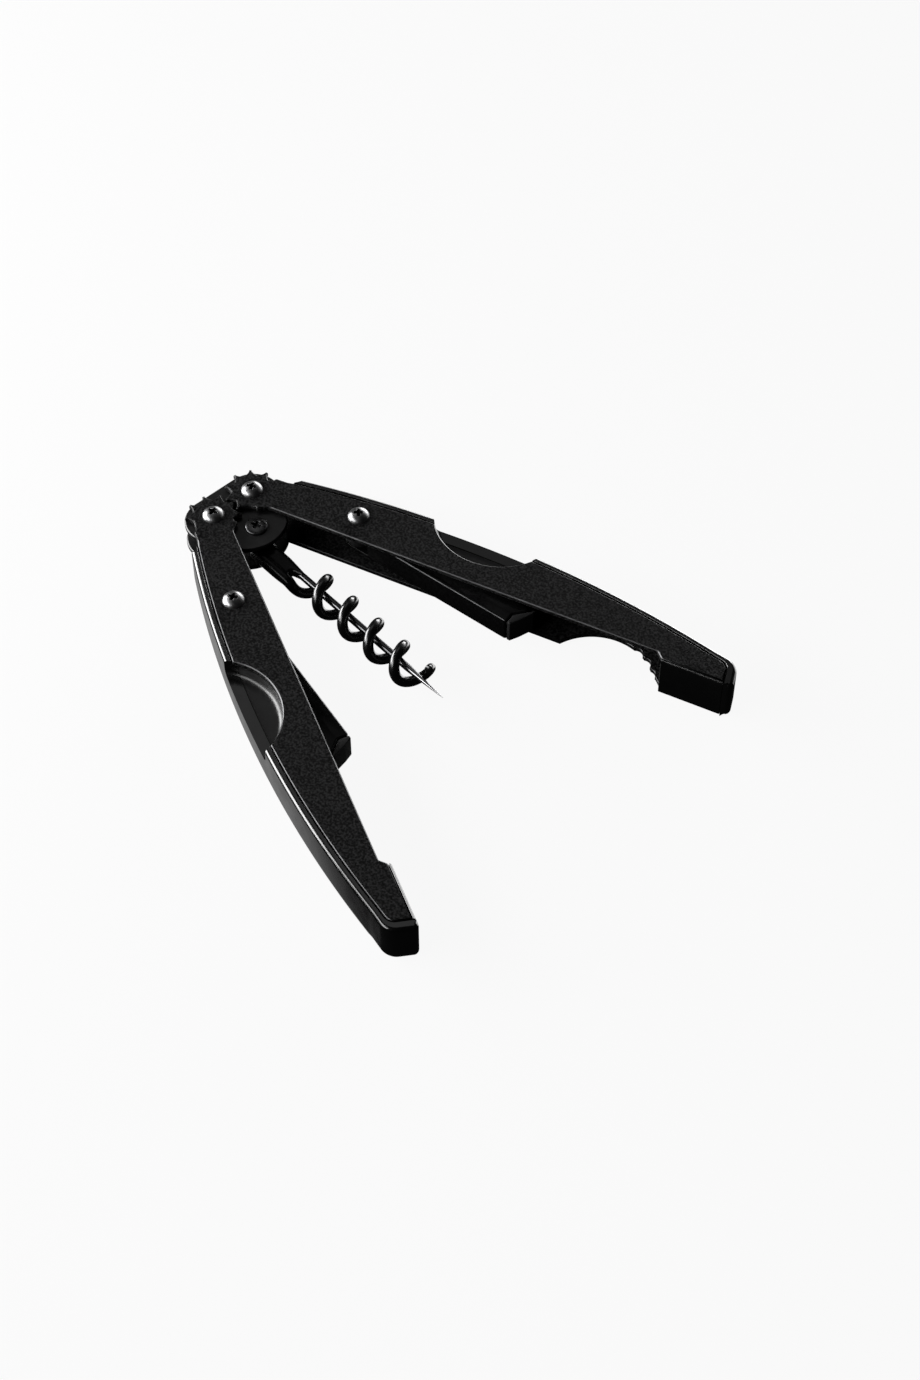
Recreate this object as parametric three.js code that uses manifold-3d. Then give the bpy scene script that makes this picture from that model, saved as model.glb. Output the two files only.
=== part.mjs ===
// Twin-arm geared lever corkscrew, lying flat, in millimetres, +Z up.
// Two mirrored handle arms turn on a link through meshing gear sectors, a fulcrum leg swings in each
// arm, and the worm stands on the link between them. +X runs from the link to the worm's point.
import * as THREE from 'three';
import { mergeVertices } from 'three/addons/utils/BufferGeometryUtils.js';
import Module from 'manifold-3d';

const wasm = await Module();
wasm.setup();

// ---- driving dimensions -------------------------------------------------------------------------
const THICK = 10.8; // over both arm plates
const PLATE = 1.3; // arm plate thickness
const LINK_PLATE = 1.3;
const WASHER = 0.25;
const SLIP = 0.05; // gap between faces that turn on each other
const MIDDLE = THICK / 2;
const DROP = 1.2; // how far the spine and the tip reach below the back plate
const ORIGIN_X = 56.35; // from the pivots' midpoint to the middle of the whole length

const PIVOT_Y = 6; // each arm pivot's distance from the centre line, and the gears' pitch radius
const REST_ANGLE = 21.5; // each arm's angle to the centre line, degrees
const HUB_X = 8.7; // the worm's screw, on the centre line

const TEETH_PER_TURN = 10;
const TOOTH_PITCH = 360 / TEETH_PER_TURN;
const TIP_R = 6.75;
const ROOT_R = 5.0;
const TOOTH = { half: 0.28, flare: 0.42, steps: 6 }; // half width at the tip, and how it grows with depth squared

const SPINE_R = 285; // the handle's long outer curve
const SPINE_TOP = [51, 11.45]; // its highest point, in the arm's own frame
const RIM = 1.8; // width of the spine's edge that frames the plates
const RIM_GAP = 0.12;
const LEDGE = 1.0; // the spine's thicker part between the plates
const SPINE_START = 7.3;
const INNER_EDGE = -3.0; // the plates' straight inner edge
const INNER_SHOULDER = [[3.4, -5.2, 0.5], [6.2, INNER_EDGE, 2.5]]; // from the gear to the inner edge: x, y, radius
const OUTER_SHOULDER = [[6.4, 6.0, 1.5], [3.2, 5.9, 0.6]]; // from the spine to the gear
const TIP_STEP_X = 107.6;
const TIP_EDGE = -4.6; // the plates' inner edge at the tip
const TIP_FACE = -5.4; // the tip pad's inner face
const TIP_END_X = 127.2; // the tip's end line at the tip pad's inner face
const TIP_LEAN = 0.22; // how far the end line leans back per millimetre outward
const CAP = 2.6; // the spine's thickness round the tip
const PLATE_CORNER = { y: 0.4, r: 2.6, from: 117 }; // the plates' outer corner at the tip
const CAP_CORNER = { y: 1.9, r: 4.2, from: 119.5 }; // the spine's outer corner at the tip
const PAD_START = TIP_STEP_X + 1.7;
const PAD_CORE = 2.0; // how far the tip pad reaches between the plates
const PAD_BEVEL = 2.0;
const PAD_FOOT = { y: -2.4, bevel: 0.7 }; // the pad's turn under the back plate

const NOTCH = { x: 57.4, y: 18.7, r: 15.9, depth: 4.4 };
const RECESS_WALL = 1.0;
const RECESS_SPAN = [40.5, 74];
const ARCH = { x: 95.1, y: -10.3, r: 13.9 };
const BITES = { at: 12.9, r: 1.7, first: 64, step: -15, count: 4 };

const MID = [27, 3.7]; // the leg's pivot, in the arm's own frame
const LEG_ANGLE = -11.5; // the leg's angle to the arm at rest, degrees
const LEG_HALF = 3.3;
const LEG_HEIGHT = 6.6;
const LEG_WALL = 1.0;
const LEG_LENGTH = 46.6;
const LEG_LIP = 3.0; // how much further the leg's outer side reaches
const KNUCKLE = 5; // length cleared round the leg's pivot
const FOOT_START = 40.5;

const SLEEVE_R = 2.2;
const HOLE_R = 2.35;
const HEAD_R = 2.7;
const HEAD_EDGE = 0.3; // the head's upright edge, under its dome
const PIVOT_DOME = 2.1;
const HUB_DOME = 0.85;
const CROSS = { reach: 1.3, half: 0.28, depth: 0.8 };
const SEAT_R = 3.15; // counterbore under a screw head
const SEAT_DEPTH = 0.6;
const SHANK_R = 1.3;
const PIVOT_SHANK = 6;
const HUB_SHANK = 5;
const NUT_R = 2.8;
const NUT_BACK = -0.85; // the pivot nuts' outer face
const HUB_NUT_HEAD = 0.55;
const THREAD_GAP = 0.1;

const WORM_PITCH = 9.05;
const WORM_R = 3.45; // the coil's centre line
const WIRE_R = 1.2;
const NEEDLE_R = 0.9;
const NEEDLE_TIP = 75;
const WORM_ROOT = 17; // where needle and wire start inside the hub's neck
const NECK_END = 22.6;
const NECK_R = 1.7;
const BARREL_R = 4.4;
const COIL_START = 26.05;
const COIL_END = 68.4;
const COIL_EASE = 2.5; // half the length over which the straight wire bends into the coil

const LINK_R = 7.0; // round the arm pivots
const FAN = { x: 4.8, r: 10.1, half: 42 };
const WASHER_R = 3.6;
const BUSH_R = 3.1;

const ROUND_STEPS = 24;
const CLEAR = 30; // reach of a cutting solid past the piece it cuts

// ---- materials ----------------------------------------------------------------------------------
const finishes = {
  black_plate: [0x1b1b1c, 0.62, 0.35],
  gloss_black: [0x0c0c0d, 0.22, 0.2],
  satin_black: [0x141415, 0.45, 0.4],
  black_steel: [0x101011, 0.2, 0.9],
  polished_steel: [0xc9cbce, 0.18, 1.0],
  nylon: [0x18181a, 0.7, 0.0],
};

function material(finish) {
  const [color, roughness, metalness] = finishes[finish];
  return new THREE.MeshStandardMaterial({ color, roughness, metalness });
}

// ---- solids -------------------------------------------------------------------------------------
function solid(geometry) {
  const bare = geometry.clone();
  bare.deleteAttribute('normal');
  bare.deleteAttribute('uv');
  const merged = mergeVertices(bare, 1e-5);
  return new wasm.Manifold(new wasm.Mesh({
    numProp: 3,
    vertProperties: new Float32Array(merged.attributes.position.array),
    triVerts: new Uint32Array(merged.index.array),
  }));
}

function piece(name, body, finish) {
  const mesh = body.getMesh();
  const geometry = new THREE.BufferGeometry();
  geometry.setAttribute('position', new THREE.BufferAttribute(new Float32Array(mesh.vertProperties), 3));
  geometry.setIndex(new THREE.BufferAttribute(new Uint32Array(mesh.triVerts), 1));
  geometry.computeVertexNormals();
  const result = new THREE.Mesh(geometry, material(finish));
  result.name = name;
  return result;
}

function arc(x, y, r, from, to, steps) {
  return Array.from({ length: steps + 1 }, (_, i) => {
    const a = THREE.MathUtils.degToRad(from + ((to - from) * i) / steps);
    return [x + r * Math.cos(a), y + r * Math.sin(a)];
  });
}

function circle(x, y, r) {
  return arc(x, y, r, 0, 360, ROUND_STEPS).slice(0, ROUND_STEPS);
}

// A closed outline from [x, y, radius] corners: each corner with a radius is rounded.
function rounded(corners) {
  return corners.flatMap(([x, y, r = 0], i) => {
    if (r === 0) return [[x, y]];
    const corner = new THREE.Vector2(x, y);
    const before = new THREE.Vector2(...corners.at(i - 1).slice(0, 2)).sub(corner).normalize();
    const after = new THREE.Vector2(...corners[(i + 1) % corners.length].slice(0, 2)).sub(corner).normalize();
    const half = Math.acos(before.dot(after)) / 2;
    const start = before.clone().multiplyScalar(r / Math.tan(half)).add(corner);
    const end = after.clone().multiplyScalar(r / Math.tan(half)).add(corner);
    const middle = before.add(after).normalize().multiplyScalar(r / Math.sin(half)).add(corner);
    const a0 = Math.atan2(start.y - middle.y, start.x - middle.x);
    let sweep = Math.atan2(end.y - middle.y, end.x - middle.x) - a0;
    sweep -= 2 * Math.PI * Math.round(sweep / (2 * Math.PI));
    const from = THREE.MathUtils.radToDeg(a0);
    const to = THREE.MathUtils.radToDeg(a0 + sweep);
    return arc(middle.x, middle.y, r, from, to, Math.max(3, Math.ceil(Math.abs(to - from) / 12)));
  });
}

// An outline stood up from one height to another; side -1 mirrors it across the X axis.
function slab(points, low, high, side = 1) {
  const shape = new THREE.Shape(points.map(([x, y]) => new THREE.Vector2(x, side * y)));
  const geometry = new THREE.ExtrudeGeometry(shape, { depth: high - low, bevelEnabled: false });
  return solid(geometry.translate(0, 0, low));
}

function drum(x, y, r, low, high, side = 1) {
  return slab(circle(x, y, r), low, high, side);
}

// A turned piece on the Z axis, from [radius, height] points that start and end on the axis.
function turned(profile, x, y) {
  const geometry = new THREE.LatheGeometry(profile.map((p) => new THREE.Vector2(...p)), ROUND_STEPS);
  return solid(geometry.rotateX(Math.PI / 2).translate(x, y, 0));
}

// ---- outlines in an arm's own frame (pivot at the origin, handle along X) -----------------------
function spineLine(inset, from, to, steps = 20) {
  const r = SPINE_R - inset;
  return Array.from({ length: steps + 1 }, (_, i) => {
    const x = from + ((to - from) * i) / steps;
    return [x, SPINE_TOP[1] - SPINE_R + Math.sqrt(r * r - (x - SPINE_TOP[0]) ** 2)];
  });
}

function tipEnd(inset, y) {
  return TIP_END_X - inset - TIP_LEAN * (y - TIP_FACE);
}

// Gear teeth, anticlockwise, from the first tooth's angle: pointed, with hollow flanks that flare to the root.
function teeth(first, count) {
  const depths = Array.from({ length: TOOTH.steps + 1 }, (_, i) => ((TIP_R - ROOT_R) * i) / TOOTH.steps);
  const flank = (angle, side) => depths.map((depth) => {
    const r = TIP_R - depth;
    const a = THREE.MathUtils.degToRad(angle) + (side * (TOOTH.half + TOOTH.flare * depth * depth)) / r;
    return [r * Math.cos(a), r * Math.sin(a)];
  });
  const angles = Array.from({ length: count }, (_, i) => first + i * TOOTH_PITCH);
  return angles.flatMap((angle) => [...flank(angle, -1).reverse(), ...flank(angle, 1)]);
}

function plateOutline(gear) {
  return [
    ...rounded([
      ...INNER_SHOULDER, [TIP_STEP_X, INNER_EDGE, 0.8], [TIP_STEP_X + 1.6, TIP_EDGE, 0.8],
      [tipEnd(CAP, TIP_EDGE), TIP_EDGE, 0], [tipEnd(CAP, PLATE_CORNER.y), PLATE_CORNER.y, PLATE_CORNER.r],
      ...spineLine(RIM, PLATE_CORNER.from, SPINE_START + 0.9), ...OUTER_SHOULDER,
    ]),
    ...gear,
  ];
}

function armPlate(gear, low, side) {
  return slab(plateOutline(gear), low, low + PLATE, side)
    .subtract(drum(0, 0, HOLE_R, -CLEAR, CLEAR, side))
    .subtract(drum(...MID, HOLE_R, -CLEAR, CLEAR, side));
}

function frontPlate(gear, side) {
  const top = THICK;
  return armPlate(gear, top - PLATE, side)
    .subtract(drum(0, 0, SEAT_R, top - SEAT_DEPTH, CLEAR, side))
    .subtract(drum(...MID, SEAT_R, top - SEAT_DEPTH, CLEAR, side))
    .subtract(drum(NOTCH.x, NOTCH.y, NOTCH.r, 0, CLEAR, side));
}

function backPlate(gear, side) {
  let plate = armPlate(gear, 0, side)
    .subtract(drum(0, 0, SEAT_R, -1, SEAT_DEPTH, side))
    .subtract(drum(...MID, SEAT_R, -1, SEAT_DEPTH, side))
    .subtract(drum(ARCH.x, ARCH.y, ARCH.r, -1, CLEAR, side));
  for (let i = 0; i < BITES.count; i++) {
    const a = THREE.MathUtils.degToRad(BITES.first + BITES.step * i);
    const x = ARCH.x + BITES.at * Math.cos(a);
    const y = ARCH.y + BITES.at * Math.sin(a);
    plate = plate.subtract(drum(x, y, BITES.r, -1, CLEAR, side));
  }
  return plate;
}

// The spine: a rim deeper than the plates, a ledge between them, and the turn round the tip.
function spineShell(side) {
  const inset = RIM - RIM_GAP;
  const capInset = CAP - RIM_GAP;
  const rim = rounded([
    ...spineLine(0, SPINE_START + 1.8, CAP_CORNER.from), [tipEnd(0, CAP_CORNER.y), CAP_CORNER.y, CAP_CORNER.r],
    [tipEnd(0, TIP_FACE), TIP_FACE, 1.2], [tipEnd(capInset, TIP_FACE), TIP_FACE, 0],
    [tipEnd(capInset, PLATE_CORNER.y + 0.1), PLATE_CORNER.y + 0.1, PLATE_CORNER.r - 0.1],
    ...spineLine(inset, PLATE_CORNER.from, SPINE_START + 0.4),
  ]);
  const ledge = [
    ...spineLine(inset - 0.1, SPINE_START + 2, TIP_STEP_X),
    ...spineLine(RIM + LEDGE, TIP_STEP_X, SPINE_START + 2),
  ];
  return slab(rim, -DROP, THICK, side)
    .add(slab(ledge, PLATE + SLIP, THICK - PLATE - SLIP, side))
    .subtract(drum(NOTCH.x, NOTCH.y, NOTCH.r, THICK - NOTCH.depth, CLEAR, side));
}

// The thumb recess: a tray under the plates' notch, with a curved wall and a floor.
function thumbRecess(side) {
  const top = THICK - PLATE - SLIP;
  const floor = THICK - NOTCH.depth - 0.2;
  const [start, end] = RECESS_SPAN;
  const field = [...spineLine(RIM + LEDGE + RIM_GAP, end, start), [start, 0], [end, 0]];
  const tray = slab(field, floor - RECESS_WALL, top, side)
    .intersect(drum(NOTCH.x, NOTCH.y, NOTCH.r + RECESS_WALL, 0, THICK, side));
  return tray.subtract(drum(NOTCH.x, NOTCH.y, NOTCH.r, floor, CLEAR, side));
}

// The tip pad: a block between the plates with a bevelled inner face and a foot under the back plate.
function tipPad(side) {
  const lip = TIP_EDGE - RIM_GAP;
  const section = [
    [PAD_CORE, PLATE + SLIP], [lip, PLATE + SLIP], [lip, -RIM_GAP], [PAD_FOOT.y, -RIM_GAP], [PAD_FOOT.y, -DROP],
    [TIP_FACE + PAD_FOOT.bevel, -DROP], [TIP_FACE, PAD_FOOT.bevel - DROP], [TIP_FACE, THICK - PAD_BEVEL],
    [lip, THICK], [lip, THICK - PLATE - SLIP], [PAD_CORE, THICK - PLATE - SLIP],
  ];
  const bar = new THREE.ExtrudeGeometry(
    new THREE.Shape(section.map(([y, z]) => new THREE.Vector2(side * y, z))),
    { depth: CLEAR, bevelEnabled: false },
  );
  const start = PAD_START - 5;
  // The section's axes are the arm's Y and Z, and its depth runs along X.
  bar.applyMatrix4(new THREE.Matrix4().set(0, 0, 1, start, 1, 0, 0, 0, 0, 1, 0, 0, 0, 0, 0, 1));
  const inset = CAP + RIM_GAP;
  const plan = rounded([
    [PAD_START, TIP_FACE - 1, 0], [tipEnd(inset, TIP_FACE - 1), TIP_FACE - 1, 0],
    [tipEnd(inset, PLATE_CORNER.y), PLATE_CORNER.y, 3], [112, 2.6, 1], [PAD_START, -0.5, 1.5],
  ]);
  return solid(bar).intersect(slab(plan, -CLEAR, CLEAR, side));
}

// ---- the fulcrum leg, in its own frame (pivot at the origin, leg along X) -----------------------
const legLow = MIDDLE - LEG_HEIGHT / 2;
const legHigh = MIDDLE + LEG_HEIGHT / 2;

function legChannel(side) {
  const plan = rounded([
    ...arc(0, 0, LEG_HALF, 90, 270, 16), [LEG_LENGTH, -LEG_HALF, 0.4], [LEG_LENGTH - 0.3, -0.5, 0.6],
    [LEG_LENGTH + LEG_LIP, LEG_HALF, 0.5],
  ]);
  const web = -LEG_HALF + LEG_WALL;
  const inside = [[-KNUCKLE, web], [60, web], [60, 8], [-KNUCKLE, 8]];
  const knuckle = [[-KNUCKLE, -KNUCKLE], [KNUCKLE, -KNUCKLE], [KNUCKLE, KNUCKLE], [-KNUCKLE, KNUCKLE]];
  const low = legLow + LEG_WALL;
  const high = legHigh - LEG_WALL;
  return slab(plan, legLow, legHigh, side)
    .subtract(slab(inside, low, high, side))
    .subtract(slab(knuckle, low, high, side))
    .subtract(drum(0, 0, HOLE_R, -CLEAR, CLEAR, side));
}

// The foot: a moulded block in the leg's end, with a thin flange over the channel's web.
function legFoot(side) {
  const web = -LEG_HALF + LEG_WALL + RIM_GAP;
  const top = LEG_HALF - 0.2;
  const flange = -LEG_HALF - 0.4;
  const end = LEG_LENGTH + 0.1;
  const plan = rounded([
    [FOOT_START, web, 0], [end, web, 0], [end, flange, 0], [end + 0.6, flange, 0.2],
    [end + 0.5, -0.6, 0.6], [end + LEG_LIP + 0.4, top, 0.5], [FOOT_START, top, 0],
  ]);
  return slab(plan, legLow + LEG_WALL + SLIP, legHigh - LEG_WALL - SLIP, side);
}

function ring(outer, inner, low, high) {
  return drum(0, 0, outer, low, high).subtract(drum(0, 0, inner, low - 1, high + 1));
}

// ---- fasteners on the Z axis --------------------------------------------------------------------
// A domed cross-recess screw: the head's flat underside is at seat.
function domedScrew(x, y, seat, rise, length) {
  const dome = arc(0, 0, 1, 0, 90, 6).slice(0, -1).map(([r, z]) => [
    HEAD_R * r, seat + HEAD_EDGE + (rise - HEAD_EDGE) * z,
  ]);
  const screw = turned([
    [0, seat - length], [SHANK_R, seat - length], [SHANK_R, seat], [HEAD_R, seat], ...dome, [0, seat + rise],
  ], x, y);
  const { reach, half, depth } = CROSS;
  const slot = [[-reach, -half], [reach, -half], [reach, half], [-reach, half]];
  const across = slot.map(([a, b]) => [x - b, y + a]);
  const along = slot.map(([a, b]) => [x + a, y + b]);
  const floor = seat + rise - depth;
  return screw.subtract(slab(across, floor, CLEAR)).subtract(slab(along, floor, CLEAR));
}

// A sleeve nut: a flat head at the back and a hollow sleeve that the screw's shank runs into.
function sleeveNut(x, y, back, shoulder, top) {
  const floor = shoulder + THREAD_GAP;
  const bore = SHANK_R + THREAD_GAP;
  return turned([
    [0, back], [NUT_R - 0.3, back], [NUT_R, back + 0.3], [NUT_R, shoulder], [SLEEVE_R, shoulder],
    [SLEEVE_R, top], [bore, top], [bore, floor], [0, floor],
  ], x, y);
}

// ---- link and worm ------------------------------------------------------------------------------
const linkBackLow = PLATE + WASHER + 2 * SLIP;
const linkFrontHigh = THICK - linkBackLow;

function linkPlate(low) {
  const outline = [
    ...arc(0, PIVOT_Y, LINK_R, 50, 180, 18), ...arc(0, -PIVOT_Y, LINK_R, 180, 310, 18),
    ...arc(FAN.x, 0, FAN.r, -FAN.half, FAN.half, 18),
  ];
  return slab(outline, low, low + LINK_PLATE)
    .subtract(drum(0, PIVOT_Y, HOLE_R, -CLEAR, CLEAR))
    .subtract(drum(0, -PIVOT_Y, HOLE_R, -CLEAR, CLEAR))
    .subtract(drum(HUB_X, 0, HOLE_R, -CLEAR, CLEAR));
}

// The worm's hub: a barrel on the third screw and a neck that holds the needle and the wire's root.
function wormHub() {
  const section = [...arc(0, MIDDLE, NECK_R, -90, 90, 10), ...arc(-WORM_R, MIDDLE, NECK_R, 90, 270, 10)];
  const start = HUB_X + BARREL_R / 2;
  const neck = new THREE.ExtrudeGeometry(
    new THREE.Shape(section.map((p) => new THREE.Vector2(...p))),
    { depth: NECK_END - start, bevelEnabled: false },
  );
  neck.applyMatrix4(new THREE.Matrix4().set(0, 0, 1, start, 1, 0, 0, 0, 0, 1, 0, 0, 0, 0, 0, 1));
  const gap = 0.1;
  const low = linkBackLow + LINK_PLATE + SLIP;
  const bores = [[0, NEEDLE_R + gap], [-WORM_R, WIRE_R + gap]].map(([y, r]) => {
    const bore = new THREE.CylinderGeometry(r, r, CLEAR, ROUND_STEPS);
    bore.rotateZ(Math.PI / 2).translate(WORM_ROOT - gap + CLEAR / 2, y, MIDDLE);
    return solid(bore);
  });
  return drum(HUB_X, 0, BARREL_R, low, THICK - low)
    .add(solid(neck))
    .subtract(drum(HUB_X, 0, HOLE_R, -CLEAR, CLEAR))
    .subtract(bores[0])
    .subtract(bores[1]);
}

function wormNeedle() {
  const profile = [
    [0, WORM_ROOT], [NEEDLE_R, WORM_ROOT], [NEEDLE_R, 63], [0.85 * NEEDLE_R, 66.5],
    [0.55 * NEEDLE_R, 70.5], [0.12, NEEDLE_TIP - 0.15], [0, NEEDLE_TIP],
  ];
  const geometry = new THREE.LatheGeometry(profile.map((p) => new THREE.Vector2(...p)), 12);
  return solid(geometry.rotateZ(-Math.PI / 2).translate(0, 0, MIDDLE));
}

// The wire: straight beside the needle in the neck, then a right-handed coil round it.
class WormCurve extends THREE.Curve {
  getPoint(t, target = new THREE.Vector3()) {
    const x = WORM_ROOT + (COIL_END - WORM_ROOT) * t;
    const run = x - COIL_START;
    const bent = (run + COIL_EASE) ** 2 / (4 * COIL_EASE);
    const wound = run < -COIL_EASE ? 0 : run > COIL_EASE ? run : bent;
    const a = Math.PI + (2 * Math.PI * wound) / WORM_PITCH;
    return target.set(x, WORM_R * Math.cos(a), MIDDLE + WORM_R * Math.sin(a));
  }
}

function wormWire() {
  const section = arc(0, 0, WIRE_R, 0, 315, 7).map((p) => new THREE.Vector2(...p));
  return solid(new THREE.ExtrudeGeometry(new THREE.Shape(section), { steps: 110, extrudePath: new WormCurve() }));
}

// ---- assembly -----------------------------------------------------------------------------------
const corkscrew = new THREE.Group();

function addLink() {
  corkscrew.add(piece('link_plate_front', linkPlate(linkFrontHigh - LINK_PLATE), 'satin_black'));
  corkscrew.add(piece('link_plate_back', linkPlate(linkBackLow), 'satin_black'));
  corkscrew.add(piece('worm_hub', wormHub(), 'black_steel'));
  corkscrew.add(piece('worm_needle', wormNeedle(), 'black_steel'));
  corkscrew.add(piece('worm_wire', wormWire(), 'black_steel'));
  const hubSeat = linkFrontHigh + SLIP;
  corkscrew.add(piece('hub_screw', domedScrew(HUB_X, 0, hubSeat, HUB_DOME, HUB_SHANK), 'polished_steel'));
  const shoulder = linkBackLow - SLIP;
  const nut = sleeveNut(HUB_X, 0, shoulder - HUB_NUT_HEAD, shoulder, hubSeat - SLIP);
  corkscrew.add(piece('hub_nut', nut, 'satin_black'));
}

function addPivot(prefix, side) {
  const seat = THICK - SEAT_DEPTH + SLIP;
  const y = side * PIVOT_Y;
  corkscrew.add(piece(`${prefix}_pivot_screw`, domedScrew(0, y, seat, PIVOT_DOME, PIVOT_SHANK), 'polished_steel'));
  const nut = sleeveNut(0, y, NUT_BACK, SEAT_DEPTH - SLIP, seat - SLIP);
  corkscrew.add(piece(`${prefix}_pivot_nut`, nut, 'polished_steel'));
  for (const [place, low] of [['front', linkFrontHigh + SLIP], ['back', PLATE + SLIP]]) {
    const washer = piece(`${prefix}_pivot_washer_${place}`, ring(WASHER_R, HOLE_R, low, low + WASHER), 'nylon');
    washer.position.y = y;
    corkscrew.add(washer);
  }
}

function addArm(prefix, side, firstTooth) {
  const gear = teeth(firstTooth, 6);
  const arm = new THREE.Group();
  arm.position.y = side * PIVOT_Y;
  arm.rotation.z = side * THREE.MathUtils.degToRad(REST_ANGLE);
  corkscrew.add(arm);
  arm.add(piece(`${prefix}_front_plate`, frontPlate(gear, side), 'black_plate'));
  arm.add(piece(`${prefix}_back_plate`, backPlate(gear, side), 'black_plate'));
  arm.add(piece(`${prefix}_spine_shell`, spineShell(side), 'gloss_black'));
  arm.add(piece(`${prefix}_thumb_recess`, thumbRecess(side), 'satin_black'));
  arm.add(piece(`${prefix}_tip_pad`, tipPad(side), 'gloss_black'));
  const seat = THICK - SEAT_DEPTH + SLIP;
  const [x, y] = [MID[0], side * MID[1]];
  arm.add(piece(`${prefix}_leg_screw`, domedScrew(x, y, seat, PIVOT_DOME, PIVOT_SHANK), 'polished_steel'));
  const nut = sleeveNut(x, y, NUT_BACK, SEAT_DEPTH - SLIP, seat - SLIP);
  arm.add(piece(`${prefix}_leg_nut`, nut, 'polished_steel'));

  const leg = new THREE.Group();
  leg.position.set(x, y, 0);
  leg.rotation.z = side * THREE.MathUtils.degToRad(LEG_ANGLE);
  arm.add(leg);
  leg.add(piece(`${prefix}_leg_channel`, legChannel(side), 'satin_black'));
  leg.add(piece(`${prefix}_leg_foot`, legFoot(side), 'nylon'));
  const bush = ring(BUSH_R, HOLE_R, legLow + LEG_WALL + SLIP, legHigh - LEG_WALL - SLIP);
  leg.add(piece(`${prefix}_leg_bush`, bush, 'nylon'));
}

const contactAngle = 270 - REST_ANGLE; // the direction of the other pivot, in an arm's own frame
addLink();
for (const [prefix, side] of [['upper', 1], ['lower', -1]]) addPivot(prefix, side);
addArm('upper', 1, contactAngle - 4.5 * TOOTH_PITCH); // a gap faces the other arm at rest
addArm('lower', -1, contactAngle - 4 * TOOTH_PITCH); // a tooth faces the other arm at rest
corkscrew.position.set(-ORIGIN_X, 0, DROP);

export default corkscrew;
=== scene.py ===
"""Twin-arm geared lever corkscrew: the looks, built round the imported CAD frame.

Lengths are in millimetres until a piece is placed."""

import math

import bpy
from mathutils import Matrix, Vector
from mathutils.geometry import delaunay_2d_cdt


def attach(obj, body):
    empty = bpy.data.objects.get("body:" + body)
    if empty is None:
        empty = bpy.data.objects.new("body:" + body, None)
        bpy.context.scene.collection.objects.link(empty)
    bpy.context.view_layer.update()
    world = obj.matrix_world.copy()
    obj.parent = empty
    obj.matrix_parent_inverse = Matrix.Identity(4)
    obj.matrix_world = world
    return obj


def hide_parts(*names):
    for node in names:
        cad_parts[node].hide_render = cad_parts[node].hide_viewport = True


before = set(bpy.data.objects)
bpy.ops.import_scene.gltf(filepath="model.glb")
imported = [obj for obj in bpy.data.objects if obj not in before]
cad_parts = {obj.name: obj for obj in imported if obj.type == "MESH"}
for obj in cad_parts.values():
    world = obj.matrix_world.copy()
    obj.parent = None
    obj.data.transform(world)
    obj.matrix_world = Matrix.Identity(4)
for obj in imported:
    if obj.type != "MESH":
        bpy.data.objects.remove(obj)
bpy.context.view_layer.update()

# ---- driving dimensions, the same as the CAD model's ---------------------------------------------
MM = 0.001
THICK = 10.8
PLATE = 1.3
LINK_PLATE = 1.3
WASHER = 0.25
SLIP = 0.05
MIDDLE = THICK / 2
DROP = 1.2
ORIGIN_X = 56.35
PIVOT_Y = 6.0
REST_ANGLE = 21.5
HUB_X = 8.7

TEETH_PER_TURN = 10
TIP_R = 6.75
ROOT_R = 5.0
TOOTH_HALF, TOOTH_FLARE = 0.28, 0.42
TOOTH_PITCH = 360 / TEETH_PER_TURN
TEETH = 6
CONTACT_ANGLE = 270 - REST_ANGLE

SPINE_R = 285.0
SPINE_TOP = (51.0, 11.45)
RIM = 1.8
RIM_GAP = 0.12
LEDGE = 1.0
SPINE_START = 7.3
SPINE_END = 117
INNER_EDGE = -3.0
TIP_STEP_X = 107.6
TIP_STEP_RUN = 1.6
TIP_EDGE = -4.6
TIP_CORNER_Y = 0.4
TIP_FACE = -5.4
TIP_END_X = 127.2
TIP_LEAN = 0.22
CAP = 2.6

NOTCH_X, NOTCH_Y, NOTCH_R, NOTCH_DEPTH = 57.4, 18.7, 15.9, 4.4
NOTCH_FILLET = 1.5
RECESS_WALL = 1.0
ARCH_X, ARCH_Y, ARCH_R = 95.1, -10.3, 13.9
BITE_AT, BITE_R = 12.9, 1.7
BITE_ANGLES = (64, 49, 34, 19)

MID = (27.0, 3.7)
LEG_ANGLE = -11.5
LEG_HALF = 3.3
LEG_HEIGHT = 6.6
LEG_WALL = 1.0
LEG_LENGTH = 46.6

HOLE_R = 2.35
HEAD_R = 2.7
HEAD_EDGE = 0.3
PIVOT_DOME = 2.1
HUB_DOME = 0.85
SEAT_R = 3.15
SEAT_DEPTH = 0.6
SHANK_R = 1.3
NUT_R = 2.8
SLEEVE_R = 2.2
NUT_BACK = -0.85

WORM_PITCH = 9.05
WORM_R = 3.45
WIRE_R = 1.2
NEEDLE_R = 0.9
NEEDLE_TIP = 75.0
WORM_ROOT = 17.0
COIL_START = 26.05
COIL_END = 68.4

LINK_R = 7.0
FAN_X, FAN_R, FAN_HALF = 4.8, 10.1, 42

CROSS_DEPTH, CROSS_REACH, CROSS_HALF = 1.4, 1.5, 0.42
WORN_START = 6.2
BRIGHT_START = 60.0
BRIGHT_END = 68.0

# ---- fineness: arc steps in degrees, and cutters' reach past what they cut -----------------------
CORNER_STEP = 4.4
NOTCH_STEP = 1.5
HOLE_STEP = 6
SPINE_STEP = 1.6
FLANK_STEPS = 8
CLEAR = 5

link_back_low = PLATE + WASHER + 2 * SLIP
link_front_high = THICK - link_back_low
leg_low = MIDDLE - LEG_HEIGHT / 2
leg_high = MIDDLE + LEG_HEIGHT / 2
plate_inside = THICK - PLATE - SLIP


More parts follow.
